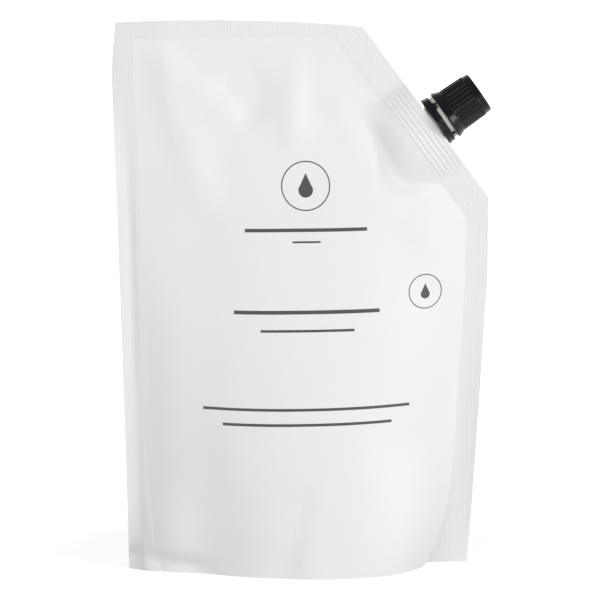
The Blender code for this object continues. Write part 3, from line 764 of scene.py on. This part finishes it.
def film_base(material):
    """The base fold with the inner sides of the skirts, seen from below."""
    heights = np.linspace(0.0, ARCH_END, BASE_HEIGHTS)
    left_end, right_end = float(inner_left(ARCH_END)), float(inner_right(ARCH_END))
    x = np.linspace(left_end, right_end, BASE_COLUMNS)
    reach = np.where(x > BASE_CENTRE_X, right_end, left_end)
    share = np.minimum(1.0, (x - BASE_CENTRE_X) / (reach - BASE_CENTRE_X))
    arch = ARCH_LOW + (ARCH_END - ARCH_LOW) * share**ARCH_POWER
    rise = np.maximum(0.0, (share - FOLD_FLAT) / (1.0 - FOLD_FLAT)) ** 2
    fold = -FOLD_SINK + (ARCH_END + FOLD_SINK) * rise
    # Near the side seals the skirts end on the seals' inner lines, and between them on the floor
    left_line, right_line = inner_left(heights), inner_right(heights)
    low = np.interp(x, right_line, heights, left=0.0) + np.interp(-x, -left_line, heights, left=0.0)
    rows = []
    for k in range(SKIRT_ROWS + 1):
        z = low + (arch - low) * k / SKIRT_ROWS
        rows.append(np.stack([x, front_y(x, z, front_fine(x, z)) + SKIRT_THICKNESS, z], -1))
    front_edge, back_edge = rows[-1][:, 1], back_y(x, arch) - SKIRT_THICKNESS
    for k in range(1, FOLD_ROWS):
        across = -1.0 + 2.0 * k / FOLD_ROWS
        sag = 1.0 - abs(across) ** FOLD_POWER
        y = 0.5 * (front_edge + back_edge) + 0.5 * (back_edge - front_edge) * across
        rows.append(np.stack([x, y, np.maximum(FLOOR_GAP, arch - (arch - fold) * sag)], -1))
    for k in range(SKIRT_ROWS + 1):
        z = arch + (low - arch) * k / SKIRT_ROWS
        rows.append(np.stack([x, back_y(x, z) - SKIRT_THICKNESS, z], -1))
    return grid_object("film_base", np.array(rows), material, flip=True)


def turned(name, profile, sides, material, shape=None):
    """Turns a closed profile of (radius, height) about the spout's axis.

    Angle 0 faces the front and grows towards the low end of the cut.
    shape(radius, height, angle) moves the points."""
    angle = np.linspace(0.0, 2.0 * math.pi, sides, endpoint=False)[None, :]
    radius, height = (np.array(column)[:, None] + 0.0 * angle for column in zip(*profile))
    angle = angle + 0.0 * radius
    if shape:
        radius, height = shape(radius, height, angle)
    points = np.stack([radius * np.sin(angle), -radius * np.cos(angle), height], -1)
    obj = grid_object(name, points, material, closed_u=True)
    obj.data.transform(SPOUT_PLACE)
    obj.data.set_sharp_from_angle(angle=math.radians(PLASTIC_SHARP))
    return obj


def along_profile(points, step):
    """The profile with more points on its straight runs, no further apart than step."""
    out = [points[0]]
    for (r0, h0), (r1, h1) in zip(points, points[1:]):
        count = max(1, math.ceil(math.hypot(r1 - r0, h1 - h0) / step))
        out += [(r0 + (r1 - r0) * k / count, h0 + (h1 - h0) * k / count) for k in range(1, count + 1)]
    return out


def rounded(points, radius, steps=4):
    """The profile with each inner corner rounded off."""
    out = [points[0]]
    for before, corner, after in zip(points, points[1:], points[2:]):
        corner = np.array(corner)
        back, on = np.array(before) - corner, np.array(after) - corner
        reach = min(radius, 0.45 * np.linalg.norm(back), 0.45 * np.linalg.norm(on))
        start = corner + back / np.linalg.norm(back) * reach
        end = corner + on / np.linalg.norm(on) * reach
        for k in range(steps + 1):
            t = k / steps
            out.append(tuple((1 - t) ** 2 * start + 2 * t * (1 - t) * corner + t * t * end))
    return [*out, points[-1]]


def cap_grooves(radius, height, angle):
    """Grooves between the grip ribs: round at the bottom against the flare, stopped square under the rim."""
    turn = angle / (2.0 * math.pi) * CAP_RIBS
    side = np.abs((turn % 1.0) - 0.5) * 2.0
    groove = smooth((side - GROOVE_START) / GROOVE_SLOPE)
    foot = CAP_FLARE_HIGH + 0.1 + (1.0 - groove)
    inside = smooth((height - foot) / GROOVE_FOOT) * smooth((CAP_RIB_HIGH - 0.15 - height) / GROOVE_HEAD)
    outer = radius > CAP_INNER + 0.5
    return np.where(outer, radius - CAP_RIB_DEPTH * groove * inside, radius), height


def cap_object(material):
    """Screw cap: hollow, with a flared skirt, grip ribs and a smooth rim."""
    rib_foot = (CAP_RIB_RADIUS, CAP_FLARE_HIGH + 0.5)
    rim_foot = (CAP_RIM_RADIUS, CAP_RIB_HIGH + 0.15)
    lip_inner = (CAP_SKIRT_INNER, CAP_LOW)
    inner_top = CAP_TOP - CAP_TOP_WALL
    lip = [lip_inner, (CAP_LIP_RADIUS, CAP_LOW), (CAP_LIP_RADIUS, CAP_LIP_HIGH)]
    flare = rounded([*lip, (CAP_RIB_RADIUS + 0.1, CAP_FLARE_HIGH - 0.2), rib_foot], 0.25)
    ribs = along_profile([rib_foot, (CAP_TOP_RADIUS, CAP_RIB_HIGH - 0.2)], 0.35)
    crown = [(CAP_TOP_RADIUS - 0.04, CAP_RIB_HIGH - 0.1), (CAP_RIM_RADIUS + 0.06, CAP_RIB_HIGH), rim_foot]
    rim = rounded([rim_foot, (CAP_RIM_RADIUS - 0.2, CAP_TOP), (NEAR_AXIS, CAP_TOP)], 0.8, 8)
    bore = [(NEAR_AXIS, inner_top), (CAP_INNER, inner_top), (CAP_INNER, CAP_FLARE_HIGH)]
    inner = rounded([*bore, (CAP_SKIRT_INNER, CAP_LIP_HIGH + 0.6), lip_inner], 0.4)
    profile = inner + flare[1:] + ribs[1:] + crown + rim[1:]
    return turned("cap_shell", profile, CAP_RIBS * SIDES_PER_RIB, material, cap_grooves)


def raise_teeth(radius, height, angle):
    """Lifts the band's top edge to its four bridges and one ratchet tooth."""
    teeth = [(middle, BRIDGE_HALF, BRIDGE_RISE) for middle in BRIDGE_ANGLES]
    teeth.append((RATCHET_ANGLE, RATCHET_HALF, RATCHET_RISE))
    top = smooth((height - BAND_HIGH + 0.15) / 0.1) * (radius > BAND_INNER - 0.05)
    lift = 0.0 * height
    for middle, half, rise in teeth:
        off = np.abs((np.degrees(angle) - middle + 180.0) % 360.0 - 180.0)
        lift = np.maximum(lift, rise * smooth((half + TOOTH_SLOPE - off) / TOOTH_SLOPE))
    return radius, height + lift * top


def band_object(material):
    """Tamper band: a stepped ring with a fine groove, its bridges and a ratchet tooth."""
    start = (BAND_LOCK, 0.6)
    profile = [
        start, (BAND_LOCK, BAND_LOW), (BAND_LIP_RADIUS, BAND_LOW), (BAND_LIP_RADIUS, BAND_STEP - 0.1),
        (BAND_RADIUS, BAND_STEP + 0.1), (BAND_RADIUS, BAND_GROOVE - 0.1),
        (BAND_RADIUS - BAND_GROOVE_DEPTH, BAND_GROOVE), (BAND_RADIUS, BAND_GROOVE + 0.1),
        (BAND_RADIUS, BAND_HIGH), (BAND_INNER, BAND_HIGH), (BAND_INNER, BAND_STEP + 0.4),
        (BAND_LOCK, BAND_STEP), start,
    ]
    return turned("band_ring", rounded(profile, 0.12, 3), BAND_SIDES, material, raise_teeth)


def wind_thread(radius, height, angle):
    """Raises the thread that the cap runs on, on the neck's outer wall."""
    climbed = height - THREAD_START - THREAD_PITCH * angle / (2.0 * math.pi)
    turn = (climbed / THREAD_PITCH + 0.5) % 1.0 - 0.5
    ridge = smooth((THREAD_HALF - np.abs(turn)) / THREAD_FLANK)
    ends = smooth((height - THREAD_LOW) / THREAD_FADE) * smooth((THREAD_HIGH - height) / THREAD_FADE)
    return radius + THREAD_DEPTH * ridge * ends * (radius > NECK_RADIUS - 0.05), height


def neck_object(material):
    """Neck with its bore, flange, bead and thread."""
    wall_low, wall_high = (NECK_RADIUS, BEAD_END + 1.0), (NECK_RADIUS, NECK_TOP - 1.2)
    low = [
        (BORE_RADIUS, NECK_LOW), (NECK_RADIUS, NECK_LOW), (NECK_RADIUS, FLANGE_LOW),
        (FLANGE_RADIUS, FLANGE_LOW), (FLANGE_RADIUS, FLANGE_HIGH), (NECK_RADIUS, FLANGE_HIGH),
        (NECK_RADIUS, BEAD_LOW), (BEAD_RADIUS, BEAD_LOW), (BEAD_RADIUS, BEAD_HIGH), (NECK_RADIUS, BEAD_END),
        wall_low,
    ]
    high = [wall_high, (NECK_RADIUS, NECK_TOP), (BORE_RADIUS, NECK_TOP), (BORE_RADIUS, NECK_LOW)]
    wall = along_profile([wall_low, wall_high], 0.12)
    profile = rounded(low, 0.15, 3) + wall[1:] + rounded(high, 0.35, 4)[1:]
    return turned("neck", profile, NECK_SIDES, material, wind_thread)


def boat_object(material):
    """The weld base that the film is sealed onto: a pointed boat with five ribs."""
    along = np.linspace(-BOAT_HALF, BOAT_HALF, BOAT_COLUMNS)
    depth = BOAT_TIP + BOAT_DEPTH * np.maximum(0.0, 1.0 - (along / BOAT_HALF) ** 2)
    tall = BOAT_HIGH - BOAT_LOW
    rows = []
    for height in np.linspace(BOAT_LOW, BOAT_HIGH, BOAT_ROWS):
        turn = (height - BOAT_LOW) / tall * BOAT_RIBS
        cut = BOAT_RIB_CUT * smooth((math.cos(2.0 * math.pi * turn) - BOAT_RIB_START) / BOAT_RIB_SLOPE)
        cut = cut if BOAT_LOW + BOAT_PLAIN_END < height < BOAT_HIGH - BOAT_PLAIN_END else 0.0
        half = np.maximum(BOAT_TIP, depth - cut)
        loop_x = np.concatenate([along, along[::-1]])
        loop_y = np.concatenate([-half, half[::-1]])
        rows.append(np.stack([loop_x, loop_y, np.full(loop_x.size, height)], -1))
    closing = np.array((1.0, 0.02, 1.0))
    rows = [rows[0] * closing, *rows, rows[-1] * closing]
    obj = grid_object("weld_base", np.array(rows), material, closed_u=True)
    obj.data.transform(WELD_PLACE)
    obj.data.set_sharp_from_angle(angle=math.radians(PLASTIC_SHARP))
    return obj


def disc_object(material):
    """Sealing disc under the cap's top."""
    low = [(NEAR_AXIS, DISC_LOW), (DISC_RADIUS, DISC_LOW)]
    high = [(DISC_RADIUS, DISC_HIGH), (NEAR_AXIS, DISC_HIGH)]
    return turned("sealing_disc", rounded(low + high, 0.2), DISC_SIDES, material)


def add_floor():
    mesh = bpy.data.meshes.new("floor")
    corners = [(-FLOOR_HALF, -FLOOR_HALF, 0), (FLOOR_HALF, -FLOOR_HALF, 0),
               (FLOOR_HALF, FLOOR_HALF, 0), (-FLOOR_HALF, FLOOR_HALF, 0)]
    mesh.from_pydata(corners, [], [(0, 1, 2, 3)])
    mat, tree, shader = new_material("floor_white")
    put(tree, shader.inputs["Base Color"], FLOOR_COLOUR)
    shader.inputs["Roughness"].default_value = 0.9
    shader.inputs["Specular IOR Level"].default_value = 0.0
    put(tree, shader.inputs["Emission Color"], WHITE)
    # It glows for camera, glossy and transmission rays only, so it adds no soft light to the pack
    seen = any_ray(tree, "Is Camera Ray", "Is Glossy Ray", "Is Transmission Ray")
    x, y, _ = separated(tree, object_coordinates(tree))
    glow = tree.nodes.new("ShaderNodeMapRange")
    put(tree, glow.inputs["Value"], distance_from_axis(tree, x, y))
    for key, value in FLOOR_GLOW.items():
        glow.inputs[key].default_value = value
    put(tree, shader.inputs["Emission Strength"], maths(tree, "MULTIPLY", seen, glow.outputs[0]))
    mesh.materials.append(mat)
    floor = bpy.data.objects.new("floor", mesh)
    bpy.context.scene.collection.objects.link(floor)


def add_world():
    """A backdrop that the camera sees as plain white and that lights the pack with less."""
    world = bpy.data.worlds.new("studio")
    bpy.context.scene.world = world
    world.use_nodes = True
    tree = world.node_tree
    back = tree.nodes["Background"]
    seen = any_ray(tree, "Is Camera Ray", "Is Transmission Ray")
    put(tree, back.inputs["Color"], WHITE)
    put(tree, back.inputs["Strength"], maths(tree, "MULTIPLY_ADD", seen, 1.0 - WORLD_LIGHT, WORLD_LIGHT))


def add_lamp(name, place, target, size, watts):
    data = bpy.data.lights.new(name, "AREA")
    data.shape = "RECTANGLE"
    data.size, data.size_y = size
    data.energy = watts
    lamp = bpy.data.objects.new(name, data)
    lamp.location = place
    lamp.rotation_euler = (Vector(target) - Vector(place)).to_track_quat("-Z", "Y").to_euler()
    bpy.context.scene.collection.objects.link(lamp)


def add_camera():
    """The photograph's view: its width at the target is the picture's width at PIXEL_SIZE per pixel."""
    azimuth, elevation = math.radians(CAMERA_AZIMUTH), math.radians(CAMERA_ELEVATION)
    level = math.cos(elevation)
    back = Vector((math.sin(azimuth) * level, -math.cos(azimuth) * level, math.sin(elevation)))
    right = Vector((math.cos(azimuth), math.sin(azimuth), 0.0))
    up = back.cross(right)
    roll = math.radians(CAMERA_ROLL)
    rolled_right = right * math.cos(roll) + up * math.sin(roll)
    rolled_up = up * math.cos(roll) - right * math.sin(roll)
    data = bpy.data.cameras.new("camera")
    camera = bpy.data.objects.new("camera", data)
    turn = Matrix((rolled_right, rolled_up, back)).transposed().to_4x4()
    camera.matrix_world = Matrix.Translation(Vector(CAMERA_TARGET) + back * CAMERA_DISTANCE) @ turn
    data.sensor_width = SENSOR_WIDTH
    data.lens = SENSOR_WIDTH * CAMERA_DISTANCE / (PICTURE_PIXELS * PIXEL_SIZE)
    data.clip_end = CLIP_END
    bpy.context.scene.collection.objects.link(camera)
    bpy.context.scene.camera = camera


film_print = film_material("film_printed", True)
film_plain = film_material("film_plain", False)
black = plastic_material("black_moulding", BLACK_COLOURS, 0.12, specular=0.2)
natural = plastic_material("natural_moulding", NATURAL_COLOURS, 0.38)
foam = plastic_material("liner_face", FOAM_COLOURS, 0.7)

add_piece(film_side("film_front", True, FRONT_PITCH, film_print), "pack", "film", "pouch")
add_piece(film_side("film_back", False, BACK_PITCH, film_plain), "pack", "film", "pouch")
add_piece(film_base(film_plain), "pack", "film", "pouch")
add_piece(cap_object(black), "cap", "black_plastic", "cap")
add_piece(band_object(black), "pack", "black_plastic", "tamper_band")
add_piece(neck_object(natural), "pack", "natural_plastic", "spout")
add_piece(boat_object(natural), "pack", "natural_plastic", "spout")
add_piece(disc_object(foam), "liner", "liner_foam", "cap_liner")

add_floor()
add_world()
for lamp in LAMPS:
    add_lamp(*lamp)
add_camera()
bpy.context.scene.view_settings.view_transform = "Standard"
